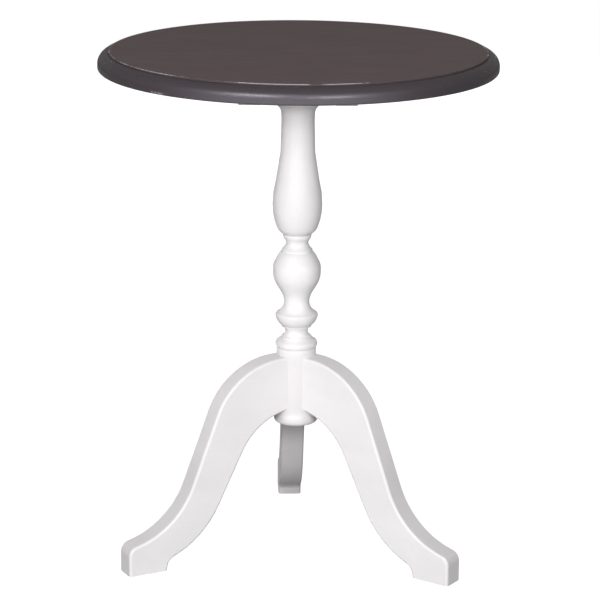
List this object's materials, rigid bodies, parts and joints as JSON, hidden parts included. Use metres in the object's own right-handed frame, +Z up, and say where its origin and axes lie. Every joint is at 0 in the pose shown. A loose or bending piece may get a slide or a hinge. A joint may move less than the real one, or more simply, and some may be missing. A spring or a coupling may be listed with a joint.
{
  "type": "tilt top table",
  "caption": "Round occasional table whose top tilts upright on a block, on a turned column with scroll legs.",
  "frame": {"origin": "on the floor under the column's axis", "axes": "+Z up; -Y is the front, towards which the top tilts; +X to the right seen from the front; the single rear leg points to +Y"},
  "size_m": [0.5, 0.5, 0.653],
  "materials": {
    "dark_paint": "satin dark brown-grey paint over wood, worn at the edge",
    "white_paint": "satin white paint over wood",
    "bearer_paint": "satin pale grey paint over wood",
    "bare_wood": "bare beech",
    "steel": "dull",
    "brass": "aged satin"
  },
  "bodies": {
    "stand": {"column": "white_paint", "pivot_block": "bearer_paint", "tenon_wedge": "bare_wood", "leg_left": "white_paint", "leg_right": "white_paint", "leg_rear": "white_paint", "leg_dowels_left": "bare_wood", "leg_dowels_right": "bare_wood", "leg_dowels_rear": "bare_wood", "keeper_plate": "brass", "keeper_screws": "brass"},
    "top": {"table_top": "dark_paint", "bearer_left": "bearer_paint", "bearer_right": "bearer_paint", "bearer_screws_left": "steel", "bearer_screws_right": "steel", "pivot_pin_left": "steel", "pivot_pin_right": "steel", "bolt_guide": "brass", "guide_screws": "brass"},
    "bolt": {"slide_bolt": "brass", "bolt_knob": "brass"}
  },
  "joints": [
    {"name": "top_tilt", "type": "hinge", "parent": "stand", "child": "top", "pos_m": [0, -0.033, 0.619], "axis": [1, 0, 0], "range_deg": [0, 90]},
    {"name": "bolt_slide", "type": "slide", "parent": "top", "child": "bolt", "axis": [0, -1, 0], "range_m": [0, 0.008]}
  ]
}
